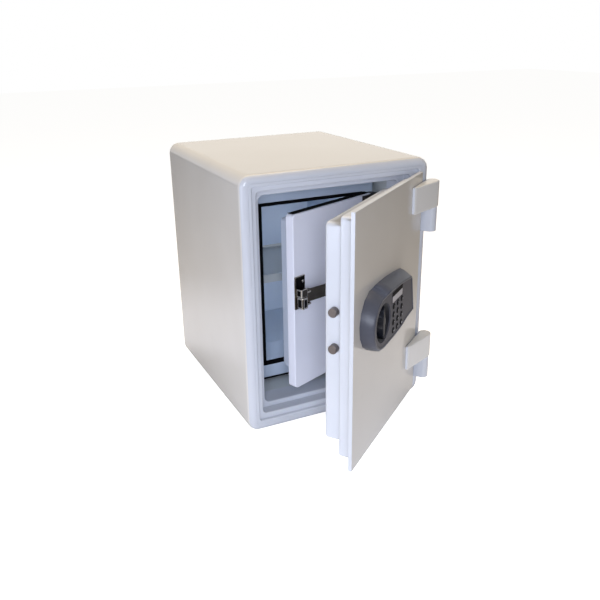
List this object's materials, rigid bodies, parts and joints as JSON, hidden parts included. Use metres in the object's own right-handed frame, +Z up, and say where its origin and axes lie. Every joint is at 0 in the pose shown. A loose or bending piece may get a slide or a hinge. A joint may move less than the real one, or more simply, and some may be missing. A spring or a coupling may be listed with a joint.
{
  "type": "fire-resistant home safe",
  "caption": "Upright fire-resistant home safe with an electronic knob lock, a stepped hinged door and an insulated media box with its own latched door inside.",
  "frame": {"origin": "centre of the flat underside of the cabinet", "axes": "+X to the right as seen from the front, +Y from the front into the depth, +Z up"},
  "size_m": [0.4169, 0.6819, 0.52],
  "materials": {
    "white_enamel": "glossy white baked enamel",
    "frame_enamel": "glossy white baked enamel",
    "liner_enamel": "satin grey-white enamel",
    "box_enamel": "satin white enamel",
    "mineral_fill": "cast gypsum-based fire insulation",
    "plated_steel": "zinc-plated",
    "dark_steel": "dark lacquer",
    "actuator_case": "moulded case",
    "nickel_casting": "nickel-plated zinc casting",
    "black_rubber": "extruded sponge rubber",
    "housing_plastic": "semi-gloss grey moulding",
    "face_plastic": "satin grey moulding",
    "display_window": "clear-coated liquid-crystal window",
    "circuit_board": "solder-masked board",
    "battery_sleeve": "shrink sleeve over four cells",
    "black_plastic": "glossy dark moulding",
    "key_plastic": "dark moulded key caps"
  },
  "bodies": {
    "cabinet": {"outer_case": "white_enamel", "front_frame": "frame_enamel", "rear_cover": "white_enamel", "cabinet_insulation": "mineral_fill", "cavity_liner": "liner_enamel", "bolt_keeper": "plated_steel", "hinge_knuckle_upper": "white_enamel", "hinge_knuckle_lower": "white_enamel", "hinge_pin_upper": "plated_steel", "hinge_pin_lower": "plated_steel", "box_pad": "black_rubber", "media_case": "box_enamel", "media_insulation": "mineral_fill", "media_liner": "box_enamel", "media_gasket": "black_rubber", "media_shelf": "liner_enamel", "shelf_support_left": "box_enamel", "shelf_support_right": "box_enamel", "latch_keeper": "plated_steel", "media_hinge_bracket_upper": "dark_steel", "media_hinge_bracket_lower": "dark_steel"},
    "main_door": {"door_skin": "white_enamel", "door_casing": "frame_enamel", "door_insulation": "mineral_fill", "hinge_arm_upper": "white_enamel", "hinge_arm_lower": "white_enamel", "boltwork_plate": "plated_steel", "bolt_guide": "plated_steel", "lock_actuator": "actuator_case", "lock_housing": "housing_plastic", "lock_face_plate": "face_plastic", "display_window": "display_window", "keypad_board": "circuit_board", "battery_pack": "battery_sleeve"},
    "boltwork": {"bolt_carriage": "plated_steel", "locking_bolt_upper": "plated_steel", "locking_bolt_lower": "plated_steel"},
    "knob": {"lock_knob": "black_plastic", "knob_spindle": "plated_steel"},
    "key_1_cap": {"key_1": "key_plastic"},
    "key_2_cap": {"key_2": "key_plastic"},
    "key_3_cap": {"key_3": "key_plastic"},
    "key_4_cap": {"key_4": "key_plastic"},
    "key_5_cap": {"key_5": "key_plastic"},
    "key_6_cap": {"key_6": "key_plastic"},
    "key_7_cap": {"key_7": "key_plastic"},
    "key_8_cap": {"key_8": "key_plastic"},
    "key_9_cap": {"key_9": "key_plastic"},
    "key_clear_cap": {"key_clear": "key_plastic"},
    "key_0_cap": {"key_0": "key_plastic"},
    "key_enter_cap": {"key_enter": "key_plastic"},
    "media_door": {"media_door_panel": "box_enamel", "media_door_plug": "box_enamel", "media_door_seal": "black_rubber", "media_hinge_leaf_upper": "dark_steel", "media_hinge_leaf_lower": "dark_steel", "latch_body": "nickel_casting"},
    "latch": {"latch_lever": "nickel_casting"}
  },
  "joints": [
    {"name": "main_door_hinge", "type": "hinge", "parent": "cabinet", "child": "main_door", "pos_m": [0.202, -0.235, 0], "axis": [0, 0, 1], "range_deg": [-38.2, 105]},
    {"name": "lock_knob_turn", "type": "hinge", "parent": "main_door", "child": "knob", "pos_m": [-0.03297, -0.4199, 0.285], "axis": [-0.6184, 0.7859, 0], "range_deg": [0, 90]},
    {"name": "boltwork_slide", "type": "slide", "parent": "main_door", "child": "boltwork", "axis": [0.7859, 0.6184, 0], "range_m": [0, 0.0126]},
    {"name": "key_1_press", "type": "slide", "parent": "main_door", "child": "key_1_cap", "axis": [-0.6184, 0.7859, 0], "range_m": [0, 0.0015], "stiffness_N_per_m": 400, "springref_m": -0.0005},
    {"name": "key_2_press", "type": "slide", "parent": "main_door", "child": "key_2_cap", "axis": [-0.6184, 0.7859, 0], "range_m": [0, 0.0015], "stiffness_N_per_m": 400, "springref_m": -0.0005},
    {"name": "key_3_press", "type": "slide", "parent": "main_door", "child": "key_3_cap", "axis": [-0.6184, 0.7859, 0], "range_m": [0, 0.0015], "stiffness_N_per_m": 400, "springref_m": -0.0005},
    {"name": "key_4_press", "type": "slide", "parent": "main_door", "child": "key_4_cap", "axis": [-0.6184, 0.7859, 0], "range_m": [0, 0.0015], "stiffness_N_per_m": 400, "springref_m": -0.0005},
    {"name": "key_5_press", "type": "slide", "parent": "main_door", "child": "key_5_cap", "axis": [-0.6184, 0.7859, 0], "range_m": [0, 0.0015], "stiffness_N_per_m": 400, "springref_m": -0.0005},
    {"name": "key_6_press", "type": "slide", "parent": "main_door", "child": "key_6_cap", "axis": [-0.6184, 0.7859, 0], "range_m": [0, 0.0015], "stiffness_N_per_m": 400, "springref_m": -0.0005},
    {"name": "key_7_press", "type": "slide", "parent": "main_door", "child": "key_7_cap", "axis": [-0.6184, 0.7859, 0], "range_m": [0, 0.0015], "stiffness_N_per_m": 400, "springref_m": -0.0005},
    {"name": "key_8_press", "type": "slide", "parent": "main_door", "child": "key_8_cap", "axis": [-0.6184, 0.7859, 0], "range_m": [0, 0.0015], "stiffness_N_per_m": 400, "springref_m": -0.0005},
    {"name": "key_9_press", "type": "slide", "parent": "main_door", "child": "key_9_cap", "axis": [-0.6184, 0.7859, 0], "range_m": [0, 0.0015], "stiffness_N_per_m": 400, "springref_m": -0.0005},
    {"name": "key_clear_press", "type": "slide", "parent": "main_door", "child": "key_clear_cap", "axis": [-0.6184, 0.7859, 0], "range_m": [0, 0.0015], "stiffness_N_per_m": 400, "springref_m": -0.0005},
    {"name": "key_0_press", "type": "slide", "parent": "main_door", "child": "key_0_cap", "axis": [-0.6184, 0.7859, 0], "range_m": [0, 0.0015], "stiffness_N_per_m": 400, "springref_m": -0.0005},
    {"name": "key_enter_press", "type": "slide", "parent": "main_door", "child": "key_enter_cap", "axis": [-0.6184, 0.7859, 0], "range_m": [0, 0.0015], "stiffness_N_per_m": 400, "springref_m": -0.0005},
    {"name": "media_door_hinge", "type": "hinge", "parent": "cabinet", "child": "media_door", "pos_m": [0.131, -0.114, 0], "axis": [0, 0, 1], "range_deg": [-22.5, 62]},
    {"name": "latch_lever_turn", "type": "hinge", "parent": "media_door", "child": "latch", "pos_m": [-0.07042, -0.22352, 0.276], "axis": [0, 0, -1], "range_deg": [0, 40]}
  ],
  "couplings": [
    {"joint": "boltwork_slide", "follows": "lock_knob_turn", "m_per_rad": 0.0079577},
    {"joint": "media_door_hinge", "follows": "main_door_hinge", "ratio": 0.58901}
  ]
}
